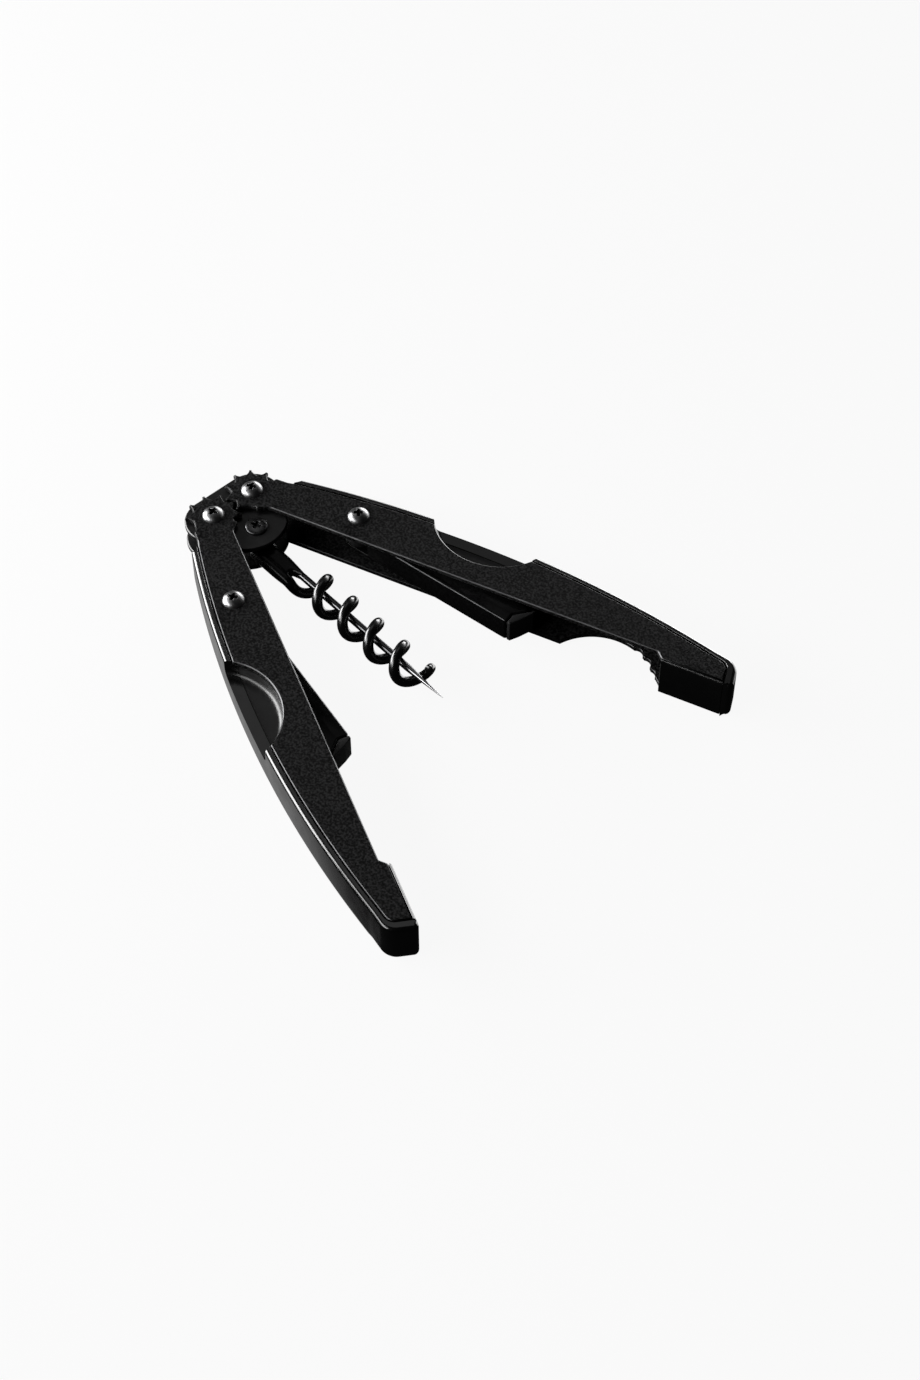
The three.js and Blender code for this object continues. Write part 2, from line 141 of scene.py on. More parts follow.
# ---- plane outlines ------------------------------------------------------------------------------
def polar(x, y, r, angle):
    return (x + r * math.cos(angle), y + r * math.sin(angle))


def arc(x, y, r, start, end, step=4.0):
    count = max(2, math.ceil(abs(end - start) / step))
    return [polar(x, y, r, math.radians(start + (end - start) * i / count)) for i in range(count + 1)]


def circle(x, y, r, step=4.0):
    return arc(x, y, r, 0, 360, step)[:-1]


def rounded(corners):
    """A closed outline from (x, y, radius) corners: each corner with a radius is rounded."""
    outline = []
    for i, (x, y, r) in enumerate(corners):
        if r == 0:
            outline.append((x, y))
            continue
        corner = Vector((x, y))
        before = (Vector(corners[i - 1][:2]) - corner).normalized()
        after = (Vector(corners[(i + 1) % len(corners)][:2]) - corner).normalized()
        half = before.angle(after) / 2
        start = corner + before * (r / math.tan(half))
        middle = corner + (before + after).normalized() * (r / math.sin(half))
        first = math.atan2(start.y - middle.y, start.x - middle.x)
        turn = math.pi - 2 * half
        if before.x * after.y - before.y * after.x > 0:
            turn = -turn
        outline += arc(middle.x, middle.y, r, math.degrees(first), math.degrees(first + turn), CORNER_STEP)
    return outline


def plain(points):
    return [(x, y, 0) for x, y in points]


def region(outlines, keep):
    """The part of the plane whose set of enclosing outlines keep() accepts.

    It comes as loops with the material on their left."""
    triangles_inside, shortest_side = 1, 0.01
    points, faces = [], []
    for outline in outlines:
        faces.append(list(range(len(points), len(points) + len(outline))))
        points += [Vector(p) for p in outline]
    flat, _, triangles, _, _, origins = delaunay_2d_cdt(points, [], faces, triangles_inside, 1e-5)
    kept = [t for t, o in zip(triangles, origins) if keep(set(o))]
    sides = {(t[i], t[(i + 1) % 3]) for t in kept for i in range(3)}
    after = {a: b for a, b in sides if (b, a) not in sides}
    loops = []
    while after:
        start, at = after.popitem()
        loop = [start]
        while at != start:
            loop.append(at)
            at = after.pop(at)
        ring = [Vector(flat[i]) for i in loop]
        loops.append([p for i, p in enumerate(ring) if (p - ring[i - 1]).length > shortest_side])
    return sorted(loops, key=lambda ring: min(p.x for p in ring))


def less(outline, *cutters):
    return region([outline, *cutters], lambda inside: inside == {0})


def shifted(loop, distance):
    """The loop moved into its material by a distance, or by one distance for each of its points."""
    sharpest = 0.35
    moved = []
    for i, point in enumerate(loop):
        d = distance[i] if isinstance(distance, list) else distance
        into = (point - loop[i - 1]).normalized().orthogonal()
        out_of = (loop[(i + 1) % len(loop)] - point).normalized().orthogonal()
        total = into + out_of
        reach = 2 * d / max(total.length_squared, sharpest)
        moved.append(point + total * reach)
    return moved


def spine_line(inset, start, end):
    r = SPINE_R - inset
    count = max(2, round(abs(end - start) / SPINE_STEP))
    xs = [start + (end - start) * i / count for i in range(count + 1)]
    return [(x, SPINE_TOP[1] - SPINE_R + math.sqrt(r * r - (x - SPINE_TOP[0]) ** 2)) for x in xs]


def tip_end(inset, y):
    return TIP_END_X - inset - TIP_LEAN * (y - TIP_FACE)


def teeth(first):
    """Gear teeth, anticlockwise: pointed, with hollow flanks that flare to the root."""
    depths = [(TIP_R - ROOT_R) * i / FLANK_STEPS for i in range(FLANK_STEPS + 1)]
    outline = []
    for i in range(TEETH):
        middle = math.radians(first + i * TOOTH_PITCH)
        halves = [(TIP_R - d, (TOOTH_HALF + TOOTH_FLARE * d * d) / (TIP_R - d)) for d in depths]
        outline += [polar(0, 0, r, middle - half) for r, half in reversed(halves)]
        outline += [polar(0, 0, r, middle + half) for r, half in halves]
    return outline


def plate_outline(first_tooth):
    """An arm plate: the handle from its inner edge round the tip and back, and the teeth that close it."""
    throat_low, throat_high = (3.4, -5.2, 0.5), (3.2, 5.9, 0.6)
    shoulder_low, shoulder_high = (6.2, INNER_EDGE, 2.5), (6.4, 6.0, 1.5)
    step_fillet, corner_fillet = 0.8, 2.6
    shoulder_end = SPINE_START + 0.9
    handle = rounded([
        throat_low, shoulder_low, (TIP_STEP_X, INNER_EDGE, step_fillet),
        (TIP_STEP_X + TIP_STEP_RUN, TIP_EDGE, step_fillet), (tip_end(CAP, TIP_EDGE), TIP_EDGE, 0),
        (tip_end(CAP, TIP_CORNER_Y), TIP_CORNER_Y, corner_fillet),
        *plain(spine_line(RIM, SPINE_END, shoulder_end)), shoulder_high, throat_high,
    ])
    return handle + teeth(first_tooth)


# ---- meshes in millimetres -----------------------------------------------------------------------
def mesh_of(points, faces):
    mesh = bpy.data.meshes.new("shape")
    mesh.from_pydata([tuple(p) for p in points], [], faces)
    mesh.validate()
    return mesh


def stacked(rings_by_loop):
    """A closed mesh from stacks of rings: walls between each loop's rings, and caps across all the ends."""
    faces_without_holes = 5
    points, faces = [], []
    ends = ([], [])
    for rings in rings_by_loop:
        count = len(rings[0])
        base = len(points)
        points += [p for ring in rings for p in ring]
        for level in range(len(rings) - 1):
            for i in range(count):
                j = (i + 1) % count
                a, b = base + level * count, base + (level + 1) * count
                faces.append((a + i, a + j, b + j, b + i))
        ends[0].append(list(range(base, base + count)))
        ends[1].append(list(range(base + (len(rings) - 1) * count, base + len(rings) * count)))
    walls = len(faces)
    for loops, flip in ((ends[0], True), (ends[1], False)):
        index = [i for loop in loops for i in loop]
        edges, start = [], 0
        for loop in loops:
            edges += [(start + i, start + (i + 1) % len(loop)) for i in range(len(loop))]
            start += len(loop)
        flat = [Vector(points[i][:2]) for i in index]
        found, _, triangles, origin, _, _ = delaunay_2d_cdt(flat, edges, [], faces_without_holes, 1e-7)
        back = []
        for spot, o in zip(found, origin):
            if not o:
                points.append((spot.x, spot.y, points[index[0]][2]))
            back.append(index[o[0]] if o else len(points) - 1)
        for face in triangles:
            ring = [back[i] for i in face]
            faces.append(tuple(reversed(ring)) if flip else tuple(ring))
    mesh = mesh_of(points, faces)
    for i, polygon in enumerate(mesh.polygons):
        polygon.use_smooth = i < walls
    return mesh


def prism(loops, profile, holes=(), weights=None):
    """Loops stood up through (inset, height) steps. A hole is (x, y, [(radius, height), ...]).

    Weights scale each point's inset: one list below the middle of the thickness, and one above it."""
    stacks = []
    for loop in loops:
        rings = []
        for inset, z in profile:
            d = [inset * w for w in weights[z > MIDDLE]] if weights else inset
            rings.append([(p.x, p.y, z) for p in shifted(loop, d)])
        stacks.append(rings)
    for x, y, steps in holes:
        around = circle(0, 0, 1, HOLE_STEP)
        stacks.append([[(x + r * c, y - r * s, z) for c, s in around] for r, z in steps])
    return stacked(stacks)


def as_loop(points):
    return [Vector(p) for p in points]


def quarter_turn(count):
    """Even steps from 0 to 90 degrees, in radians."""
    return [math.pi / 2 * i / count for i in range(count + 1)]


def rounded_steps(low, high, bottom, top, count=4):
    """Profile steps with a quarter-round at the foot and at the top."""
    quarter = quarter_turn(count)
    foot = [(bottom * (1 - math.sin(a)), low + bottom * (1 - math.cos(a))) for a in quarter]
    head = [(top * (1 - math.cos(a)), high - top * (1 - math.sin(a))) for a in quarter]
    return foot + head


def chamfered_steps(low, high, bottom, top):
    """Profile steps with a flat chamfer at each end, eased where it meets the faces."""
    ease, turn = 0.05, 0.02
    return [
        (bottom + ease, low), (bottom, low + turn), (turn, low + bottom), (0, low + bottom + ease),
        (0, high - top - ease), (turn, high - top), (top, high - turn), (top + ease, high),
    ]


def turned(profile, step=6.0):
    """A lathe about Z from an anticlockwise run of (radius, height) points, from the axis back to it."""
    around = circle(0, 0, 1, step)
    count = len(around)
    inner = profile[1:-1]
    points = [(0, 0, profile[0][1])]
    points += [(r * c, r * s, z) for r, z in inner for c, s in around]
    points.append((0, 0, profile[-1][1]))
    last = len(points) - 1
    faces = []
    for i in range(count):
        j = (i + 1) % count
        faces.append((0, 1 + j, 1 + i))
        for level in range(len(inner) - 1):
            a, b = 1 + level * count, 1 + (level + 1) * count
            faces.append((a + i, a + j, b + j, b + i))
        top = 1 + (len(inner) - 1) * count
        faces.append((top + i, top + j, last))
    mesh = mesh_of(points, faces)
    mesh.shade_smooth()
    return mesh


def tube(centres, radii, sides=20):
    """A round bar along a line of points, with flat ends."""
    points, faces = [], []
    normal = None
    for i, (centre, r) in enumerate(zip(centres, radii)):
        tangent = (centres[min(i + 1, len(centres) - 1)] - centres[max(i - 1, 0)]).normalized()
        normal = tangent.orthogonal() if normal is None else normal - tangent * normal.dot(tangent)
        normal.normalize()
        side = tangent.cross(normal)
        for k in range(sides):
            a = 2 * math.pi * k / sides
            points.append(centre + (normal * math.cos(a) + side * math.sin(a)) * r)
    for i in range(len(centres) - 1):
        for k in range(sides):
            m = (k + 1) % sides
            a, b = i * sides, (i + 1) * sides
            faces.append((a + k, a + m, b + m, b + k))
    faces.append(tuple(reversed(range(sides))))
    faces.append(tuple(range((len(centres) - 1) * sides, len(centres) * sides)))
    mesh = mesh_of(points, faces)
    mesh.shade_smooth()
    return mesh


def worked(mesh, *steps):
    """The mesh after steps of (kind, value).

    A kind is BEVEL (width), REMESH (voxel size), SMOOTH (iterations) or a boolean's name (the other mesh)."""
    thing = bpy.data.objects.new("work", mesh)
    bpy.context.scene.collection.objects.link(thing)
    others = []
    for kind, value in steps:
        if kind == "BEVEL":
            bevel = thing.modifiers.new("bevel", "BEVEL")
            bevel.width = value
            bevel.segments = 3
            bevel.limit_method = "ANGLE"
            bevel.angle_limit = math.radians(38)
            bevel.use_clamp_overlap = False
            bevel.miter_outer = "MITER_ARC"
        elif kind == "REMESH":
            remesh = thing.modifiers.new("remesh", "REMESH")
            remesh.mode = "VOXEL"
            remesh.voxel_size = value
        elif kind == "SMOOTH":
            smooth = thing.modifiers.new("smooth", "SMOOTH")
            smooth.iterations = value
        else:
            other = bpy.data.objects.new("other", value)
            bpy.context.scene.collection.objects.link(other)
            others.append(other)
            cut = thing.modifiers.new("cut", "BOOLEAN")
            cut.operation = kind
            cut.object = other
            cut.solver = "EXACT"
    evaluated = thing.evaluated_get(bpy.context.evaluated_depsgraph_get())
    result = bpy.data.meshes.new_from_object(evaluated)
    for old in [thing, *others]:
        bpy.data.objects.remove(old)
    return result


def creased(mesh, angle=35):
    mesh.shade_smooth()
    mesh.set_sharp_from_angle(angle=math.radians(angle))
    return mesh


# ---- placing -------------------------------------------------------------------------------------
LINK = Matrix.Scale(MM, 4) @ Matrix.Translation((-ORIGIN_X, 0, DROP))


def arm_place(side):
    mirror = Matrix.Diagonal((1, side, 1, 1))
    arm = Matrix.Translation((0, PIVOT_Y, 0)) @ Matrix.Rotation(math.radians(REST_ANGLE), 4, "Z")
    return LINK @ mirror @ arm


def leg_place(side):
    leg = Matrix.Translation((*MID, 0)) @ Matrix.Rotation(math.radians(LEG_ANGLE), 4, "Z")
    return arm_place(side) @ leg


def slanted(polygon):
    """A face that is neither a wall nor flat on top, away from the gear."""
    wall, flat = 0.2, 0.97
    return wall < abs(polygon.normal.z) < flat and polygon.center.x > WORN_START


def put(name, mesh, place, body, material, nodes, second=None, chosen=slanted):
    """Places a mesh as a piece that rides on a body and stands for CAD nodes.

    With a second material, the faces that chosen() accepts take it."""
    mesh.materials.clear()
    mesh.materials.append(material)
    if second:
        mesh.materials.append(second)
        for polygon in mesh.polygons:
            polygon.material_index = int(chosen(polygon))
    mesh.transform(place)
    if place.determinant() < 0:
        mesh.flip_normals()
    mesh.name = name
    piece = bpy.data.objects.new(name, mesh)
    bpy.context.scene.collection.objects.link(piece)
    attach(piece, body)
    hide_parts(*nodes)


# ---- materials -----------------------------------------------------------------------------------
# Nearly all of a noise texture's values lie between these.
NOISE_LOW, NOISE_HIGH = 0.3, 0.7


def new_material(name, rough, metallic=0.0, specular=0.5):
    made = bpy.data.materials.new(name)
    made.use_nodes = True
    shader = made.node_tree.nodes["Principled BSDF"]
    shader.inputs["Roughness"].default_value = rough
    shader.inputs["Metallic"].default_value = metallic
    shader.inputs["Specular IOR Level"].default_value = specular
    return made


def noise(made, scale, detail=2.0):
    """A noise texture in object space, in cells per metre."""
    nodes, links = made.node_tree.nodes, made.node_tree.links
    place = nodes.new("ShaderNodeTexCoord")
    texture = nodes.new("ShaderNodeTexNoise")
    texture.inputs["Scale"].default_value = scale
    texture.inputs["Detail"].default_value = detail
    links.new(place.outputs["Object"], texture.inputs["Vector"])
    return texture.outputs["Fac"]


def ramp(made, value, first, second, low=NOISE_LOW, high=NOISE_HIGH):
    """A colour that runs from first to second as the value runs from low to high."""
    nodes, links = made.node_tree.nodes, made.node_tree.links
    node = nodes.new("ShaderNodeValToRGB")
    node.color_ramp.elements[0].position = low
    node.color_ramp.elements[0].color = (*first, 1)
    node.color_ramp.elements[1].position = high
    node.color_ramp.elements[1].color = (*second, 1)
    links.new(value, node.inputs["Fac"])
    return node.outputs["Color"]


def stretch_value(made, value, low, high):
    """The value's usual range stretched to run from low to high."""
    nodes, links = made.node_tree.nodes, made.node_tree.links
    node = nodes.new("ShaderNodeMapRange")
    node.inputs["From Min"].default_value = NOISE_LOW
    node.inputs["From Max"].default_value = NOISE_HIGH
    node.inputs["To Min"].default_value = low
    node.inputs["To Max"].default_value = high
    links.new(value, node.inputs["Value"])
    return node.outputs["Result"]


def bump(made, value, height, strength):
    """Bumps of a height in metres."""
    nodes, links = made.node_tree.nodes, made.node_tree.links
    node = nodes.new("ShaderNodeBump")
    node.inputs["Distance"].default_value = height
    node.inputs["Strength"].default_value = strength
    links.new(value, node.inputs["Height"])
    links.new(node.outputs["Normal"], nodes["Principled BSDF"].inputs["Normal"])


def set_colour(made, colour):
    made.node_tree.links.new(colour, made.node_tree.nodes["Principled BSDF"].inputs["Base Color"])


def set_rough(made, value):
    made.node_tree.links.new(value, made.node_tree.nodes["Principled BSDF"].inputs["Roughness"])


def grey(v):
    return (v, v, v * 1.02)


def plate_material():
    made = new_material("black_plate_grain", 0.4, specular=0.14)
    grain = noise(made, 1900, 3)
    set_colour(made, ramp(made, grain, grey(0.0005), grey(0.02), 0.42, 0.62))
    set_rough(made, stretch_value(made, noise(made, 900), 0.34, 0.46))
    bump(made, grain, 0.00011, 1.0)
    return made


def gloss_material():
    made = new_material("black_spine_gloss", 0.2, specular=1.0)
    soft = noise(made, 140)
    set_colour(made, ramp(made, soft, grey(0.001), grey(0.002)))
    set_rough(made, stretch_value(made, noise(made, 320, 3), 0.14, 0.22))
    bump(made, noise(made, 1800), 0.00001, 0.25)
    return made


def satin_material():
    made = new_material("black_satin_coat", 0.34, specular=0.6)
    grain = noise(made, 2200)
    set_colour(made, ramp(made, grain, grey(0.001), grey(0.004)))
    set_rough(made, stretch_value(made, noise(made, 700), 0.28, 0.4))
    bump(made, grain, 0.00002, 0.4)
    return made


def leg_material():
    made = new_material("black_leg_enamel", 0.24, specular=0.15)
    grain = noise(made, 1500)
    set_colour(made, ramp(made, grain, grey(0.001), grey(0.003)))
    set_rough(made, stretch_value(made, noise(made, 700), 0.18, 0.26))
    bump(made, grain, 0.00001, 0.3)
    return made


def worm_material():
    made = new_material("black_worm_coat", 0.22, specular=1.0)
    soft = noise(made, 260)
    set_colour(made, ramp(made, soft, grey(0.0008), grey(0.002)))
    set_rough(made, stretch_value(made, noise(made, 400), 0.22, 0.26))
    return made


def needle_material():
    """Dark steel along the needle, rubbed bright towards its point."""
    made = new_material("needle_steel", 0.2, metallic=1.0)
    nodes, links = made.node_tree.nodes, made.node_tree.links
    place = nodes.new("ShaderNodeTexCoord")
    along = nodes.new("ShaderNodeSeparateXYZ")
    links.new(place.outputs["Object"], along.inputs["Vector"])
    reach = nodes.new("ShaderNodeMapRange")
    reach.inputs["From Min"].default_value = (BRIGHT_START - ORIGIN_X) * MM
    reach.inputs["From Max"].default_value = (BRIGHT_END - ORIGIN_X) * MM
    links.new(along.outputs["X"], reach.inputs["Value"])
    set_colour(made, ramp(made, reach.outputs["Result"], grey(0.08), grey(0.4), 0.0, 1.0))
    set_rough(made, stretch_value(made, noise(made, 900), 0.18, 0.26))
    return made


def steel_material():
    made = new_material("polished_steel", 0.34, metallic=1.0)
    set_colour(made, ramp(made, noise(made, 500), (0.22, 0.22, 0.223), (0.3, 0.3, 0.303)))
    set_rough(made, stretch_value(made, noise(made, 1600, 3), 0.3, 0.4))
    bump(made, noise(made, 2400), 0.000004, 0.2)
    return made


def dark_steel_material():
    made = new_material("darkened_steel", 0.3, metallic=1.0)
    set_colour(made, ramp(made, noise(made, 700), (0.06, 0.06, 0.062), (0.14, 0.14, 0.142)))
    set_rough(made, stretch_value(made, noise(made, 1500, 3), 0.22, 0.4))
    bump(made, noise(made, 2400), 0.000008, 0.3)
    return made


# Painted shade: a near-black steel colour for the faces inside a screw's cross recess, standing in for the
# shadow there.
def recess_shade_material():
    made = new_material("recess_painted_shade", 0.5, metallic=1.0)
    set_colour(made, ramp(made, noise(made, 700), grey(0.01), grey(0.03)))
    return made


def worn_edge_material():
    """Edges where the black is rubbed thin and shines."""
    made = new_material("worn_edge", 0.3, metallic=1.0)
    rubbed = noise(made, 300)
    set_colour(made, ramp(made, rubbed, grey(0.035), grey(0.06)))
    set_rough(made, stretch_value(made, noise(made, 1500), 0.28, 0.36))
    return made


def nylon_material():
    made = new_material("black_nylon", 0.6, specular=0.3)
    grain = noise(made, 3200)
    set_colour(made, ramp(made, grain, grey(0.006), grey(0.012)))
    bump(made, grain, 0.00002, 0.5)
    return made


black_plate = plate_material()
gloss_black = gloss_material()
satin_black = satin_material()
black_leg = leg_material()
black_worm = worm_material()
needle_steel = needle_material()
steel = steel_material()
dark_steel = dark_steel_material()
recess_painted_shade = recess_shade_material()
nylon = nylon_material()
worn_edge = worn_edge_material()


# ---- the arms ------------------------------------------------------------------------------------
def plate_holes(low, high, top_seat):
    """Bores with a counterbore in the plate's outer face, at the top or at the foot."""
    ease, fillet = 0.12, 0.15
    for x, y in ((0, 0), MID):
        if top_seat:
            steps = [
                (HOLE_R, low), (HOLE_R, high - SEAT_DEPTH), (SEAT_R - fillet, high - SEAT_DEPTH),
                (SEAT_R, high - SEAT_DEPTH + fillet), (SEAT_R, high - ease), (SEAT_R + ease, high),
            ]
        else:
            steps = [
                (SEAT_R + ease, low), (SEAT_R, low + ease), (SEAT_R, low + SEAT_DEPTH),
                (HOLE_R, low + SEAT_DEPTH), (HOLE_R, high),
            ]
        yield (x, y, steps)


def front_plate(prefix, side, first_tooth):
    low, high = THICK - PLATE, THICK
    under, over = 0.08, 0.27
    loops = less(plate_outline(first_tooth), circle(NOTCH_X, NOTCH_Y, NOTCH_R, NOTCH_STEP))
    mesh = prism(loops, chamfered_steps(low, high, under, over), plate_holes(low, high, True))
    put(f"{prefix}_front_plate_fine", mesh, arm_place(side), f"{prefix}_arm", black_plate,
        [f"{prefix}_front_plate"], worn_edge)


def back_plate(prefix, side, first_tooth):
    arch_step, bite_step, chamfer = 2, 10, 0.14
    cutters = [circle(ARCH_X, ARCH_Y, ARCH_R, arch_step)]
    for angle in BITE_ANGLES:
        cutters.append(circle(*polar(ARCH_X, ARCH_Y, BITE_AT, math.radians(angle)), BITE_R, bite_step))
    loops = less(plate_outline(first_tooth), *cutters)
    mesh = prism(loops, chamfered_steps(0, PLATE, chamfer, chamfer), plate_holes(0, PLATE, False))
    put(f"{prefix}_back_plate_fine", mesh, arm_place(side), f"{prefix}_arm", black_plate,
        [f"{prefix}_back_plate"], worn_edge)


def notch_cutter(floor):
    """A round cutter with a filleted foot, for the thumb notch."""
    f = NOTCH_FILLET
    above = THICK + CLEAR
    fillet = [(NOTCH_R - f + f * math.sin(a), floor + f * (1 - math.cos(a))) for a in quarter_turn(8)]
    mesh = turned([(0, floor), *fillet, (NOTCH_R, above), (0, above)], NOTCH_STEP)
    mesh.transform(Matrix.Translation((NOTCH_X, NOTCH_Y, 0)))
    return mesh


def spine_shell(prefix, side):
    """A rim with rounded edges that caps the tip of the arm, and a ledge between the plates."""
    outer_start, outer_end = SPINE_START + 1.8, 119.5
    nose_y, nose_fillet, heel_fillet = 1.9, 4.2, 1.2
    outer = rounded([
        *plain(spine_line(0, outer_start, outer_end)), (tip_end(0, nose_y), nose_y, nose_fillet),
        (tip_end(0, TIP_FACE), TIP_FACE, heel_fillet), (tip_end(CAP - RIM_GAP, TIP_FACE), TIP_FACE, 0),
    ])
    inner_start, corner_y, corner_fillet = SPINE_START + 0.4, 0.5, 2.5
    inner = rounded([
        (tip_end(CAP - RIM_GAP, TIP_FACE), TIP_FACE, 0),
        (tip_end(CAP - RIM_GAP, corner_y), corner_y, corner_fillet),
        *plain(spine_line(RIM - RIM_GAP, SPINE_END, inner_start)),
    ])
    outer = outer[::-1][1:]
    inner = inner[::-1]
    loop = as_loop(inner + outer)
    cap_start, side_weight = 118, 0.5
    foot = [0.05] * len(inner) + [1.0 if x > cap_start else side_weight for x, _ in outer]
    head = [0.3] * len(inner) + [1.0] * len(outer)
    foot_round, head_round = 2.3, 1.0
    rim = prism([loop], rounded_steps(-DROP, THICK, foot_round, head_round, 9), weights=(foot, head))
    ledge_start, overlap = SPINE_START + 2, 0.1
    ledge_line = spine_line(RIM - RIM_GAP - overlap, ledge_start, TIP_STEP_X)[::-1]
    ledge_line += spine_line(RIM + LEDGE, TIP_STEP_X, ledge_start)[::-1]
    ledge = prism([as_loop(ledge_line)], [(0, PLATE + SLIP), (0, plate_inside)])
    mesh = worked(rim, ("UNION", ledge), ("DIFFERENCE", notch_cutter(THICK - NOTCH_DEPTH)))
    put(f"{prefix}_spine_fine", creased(mesh, 4.6), arm_place(side), f"{prefix}_arm", gloss_black,
        [f"{prefix}_spine_shell"])


def thumb_recess(prefix, side):
    """The tray behind the thumb notch, with its floor a little under the notch's."""
    floor = THICK - NOTCH_DEPTH - 0.2
    start, end = 40.5, 74
    field = spine_line(RIM + LEDGE + RIM_GAP, end, start) + [(start, 0), (end, 0)]
    bowl = circle(NOTCH_X, NOTCH_Y, NOTCH_R + RECESS_WALL, NOTCH_STEP)
    loops = region([field, bowl], lambda inside: inside == {0, 1})
    tray = prism(loops, [(0, floor - RECESS_WALL), (0, plate_inside)])
    mesh = worked(tray, ("DIFFERENCE", notch_cutter(floor)))
    put(f"{prefix}_thumb_recess_fine", creased(mesh, 40), arm_place(side), f"{prefix}_arm", satin_black,
        [f"{prefix}_thumb_recess"])


def tip_pad(prefix, side):
    """A bar of the pad's cross-section, cut to its plan."""
    bevel, core, foot, chamfer = 1.4, 2.0, -2.4, 0.7
    lip = TIP_EDGE - RIM_GAP
    section = [
        (core, PLATE + SLIP), (lip, PLATE + SLIP), (lip, -RIM_GAP), (foot, -RIM_GAP), (foot, -DROP),
        (TIP_FACE + chamfer, -DROP), (TIP_FACE, chamfer - DROP),
        *((lip - (lip - TIP_FACE) * c, THICK - bevel + bevel * up) for c, up in arc(0, 0, 1, 0, 90, 10)),
        (lip, plate_inside), (core, plate_inside),
    ]
    start, end = TIP_STEP_X - 3, TIP_END_X + 3
    points = [(x, y, z) for x in (start, end) for y, z in section]
    count = len(section)
    faces = [(i, (i + 1) % count, count + (i + 1) % count, count + i) for i in range(count)]
    faces += [tuple(reversed(range(count))), tuple(range(count, 2 * count))]
    bar = mesh_of(points, faces)
    bar.flip_normals()
    inset = CAP - RIM_GAP / 2
    pad_start, past_face = TIP_STEP_X + 1.7, TIP_FACE - 1
    inner_corner, outer_corner = (pad_start, -0.5, 1.5), (112, 2.6, 1)
    plan = rounded([
        (pad_start, past_face, 0), (tip_end(inset, past_face), past_face, 0),
        (tip_end(inset, TIP_CORNER_Y), TIP_CORNER_Y, 3), outer_corner, inner_corner,
    ])
    block = prism([as_loop(plan)], [(0, -DROP - 1), (0, THICK + 1)])
    mesh = worked(bar, ("INTERSECT", block), ("BEVEL", 0.16))
    put(f"{prefix}_tip_pad_fine", creased(mesh, 12), arm_place(side), f"{prefix}_arm", gloss_black,
        [f"{prefix}_tip_pad"])


# ---- the legs ------------------------------------------------------------------------------------
def leg_channel(prefix, side):
    """A bar with a round end, hollowed from one side and right through at its knuckle."""
    foot_back, foot_notch = (LEG_LENGTH, -LEG_HALF, 0.8), (LEG_LENGTH - 0.3, -0.5, 0.6)
    foot_front = (LEG_LENGTH + 3.0, LEG_HALF, 0.9)
    plan = rounded([*plain(arc(0, 0, LEG_HALF, 90, 270, 6)), foot_back, foot_notch, foot_front])
    body = prism([as_loop(plan)], rounded_steps(leg_low, leg_high, 0.3, 0.5, 4),
                 [(0, 0, [(HOLE_R, leg_low), (HOLE_R, leg_high)])])
    low, high = leg_low + LEG_WALL, leg_high - LEG_WALL
    web, outside, past_foot, knuckle_end = -LEG_HALF + LEG_WALL, 9, 60, 5
    inside = [(-outside, web), (past_foot, web), (past_foot, outside), (-outside, outside)]
    knuckle = [(-outside, -outside), (knuckle_end, -outside), (knuckle_end, outside), (-outside, outside)]
    mesh = worked(
        body,
        ("DIFFERENCE", prism([as_loop(inside)], [(0, low), (0, high)])),
        ("DIFFERENCE", prism([as_loop(knuckle)], [(0, low), (0, high)])),
        ("BEVEL", 0.12),
    )
    put(f"{prefix}_leg_channel_fine", creased(mesh, 35), leg_place(side), f"{prefix}_leg", black_leg,
        [f"{prefix}_leg_channel"], worn_edge)


def leg_foot(prefix, side):
    """An insert in the channel's end, and a cap over the end that stays just inside the channel's outline."""
    web = -LEG_HALF + LEG_WALL + RIM_GAP
    start, end = 40.5, LEG_LENGTH + 0.1
    mouth = LEG_HALF - 0.2
    insert = rounded([(start, web, 0), (end, web, 0), (end + 3, mouth, 0.3), (start, mouth, 0)])
    within = 0.1
    cap = rounded([
        (end, -LEG_HALF + within, 0), (end + 0.8, -LEG_HALF + within, 0.3), (end + 1.9, -1.0, 1.5),
        (end + 3.5, LEG_HALF - within, 0.5), (end + 2.9, LEG_HALF - within, 0), (end - 0.2, -0.5, 0.6),
    ])
    low, high = leg_low + LEG_WALL + SLIP, leg_high - LEG_WALL - SLIP
    edge_round = 0.25
    cap_steps = rounded_steps(leg_low + within, leg_high - within, edge_round, edge_round, 3)
    mesh = prism([as_loop(insert)], [(0, low), (0, high)])
    mesh = worked(mesh, ("UNION", prism([as_loop(cap)], cap_steps)))
    put(f"{prefix}_leg_foot_fine", creased(mesh, 35), leg_place(side), f"{prefix}_leg", nylon,
        [f"{prefix}_leg_foot"])


# ---- fasteners -----------------------------------------------------------------------------------
def cross_cutter(top):
    """Two crossed blades that narrow downwards."""
    corners = ((-1, -1), (1, -1), (1, 1), (-1, 1))
    faces = ((3, 2, 1, 0), (4, 5, 6, 7), (0, 1, 5, 4), (1, 2, 6, 5), (2, 3, 7, 6), (3, 0, 4, 7))
    foot = (top - CROSS_DEPTH, CROSS_REACH * 0.35, CROSS_HALF * 0.7)
    head = (top + 1, CROSS_REACH * 1.25, CROSS_HALF * 1.3)
    blades = []
    for across in (False, True):
        points = []
        for z, reach, half in (foot, head):
            for sx, sy in corners:
                x, y = sx * reach, sy * half
                points.append((-y, x, z) if across else (x, y, z))
        blades.append(mesh_of(points, faces))
    return worked(blades[0], ("UNION", blades[1]))


